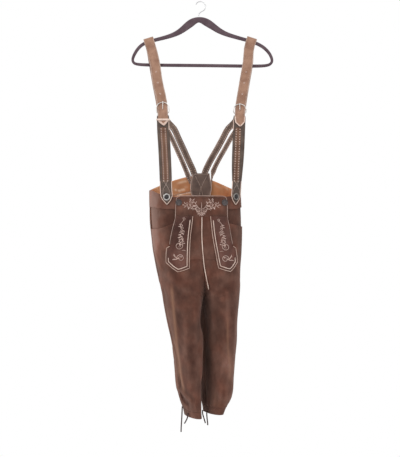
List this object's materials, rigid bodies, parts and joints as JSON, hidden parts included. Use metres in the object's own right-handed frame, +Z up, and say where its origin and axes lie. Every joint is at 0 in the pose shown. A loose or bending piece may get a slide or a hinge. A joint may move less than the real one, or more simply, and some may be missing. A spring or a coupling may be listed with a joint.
{
  "type": "lederhosen on a clothes hanger",
  "caption": "Knee-length brown suede lederhosen with embroidered drop front and leather braces, hung on a flocked clothes hanger.",
  "frame": {"origin": "inside top of the hanger's hook, where a rail carries it", "axes": "+Z up, +X to the right of a viewer facing the front, -Y out of the front"},
  "size_m": [0.4449, 0.2574, 1.338],
  "materials": {
    "suede": "brushed suede",
    "facing": "brushed suede",
    "tan_leather": "smooth, worn",
    "strap_leather": "smooth, dull",
    "cream_leather": "rolled piping",
    "silver": "satin",
    "horn": "dark horn, polished",
    "flock": "flocked",
    "wire": "bright"
  },
  "bodies": {
    "root": {"front_left": "suede", "front_right": "suede", "back_left": "suede", "back_right": "suede", "waistband_front_left": "suede", "waistband_front_right": "suede", "waistband_back": "suede", "knee_band_left": "suede", "knee_band_right": "suede", "flap": "suede", "flap_strip_left": "suede", "flap_strip_right": "suede", "pocket_facing_left": "facing", "pocket_facing_right": "facing", "brace_top_left": "tan_leather", "brace_top_right": "tan_leather", "brace_front_left": "strap_leather", "brace_front_right": "strap_leather", "brace_back_left": "strap_leather", "brace_back_right": "strap_leather", "brace_back_outer_left": "strap_leather", "brace_back_outer_right": "strap_leather", "yoke_shield": "strap_leather", "lace_left_long": "strap_leather", "lace_left_short": "strap_leather", "lace_right_front": "strap_leather", "lace_right_back": "strap_leather", "flap_piping": "cream_leather", "strip_piping_left": "cream_leather", "strip_piping_right": "cream_leather", "centre_welt": "cream_leather", "keeper_left": "cream_leather", "buckle_left": "silver", "buckle_right": "silver", "buckle_prong_left": "silver", "buckle_prong_right": "silver", "brace_button_left": "silver", "brace_button_right": "silver", "flap_button_left": "horn", "flap_button_right": "horn", "hanger": "flock", "hanger_hook": "wire"}
  },
  "joints": []
}
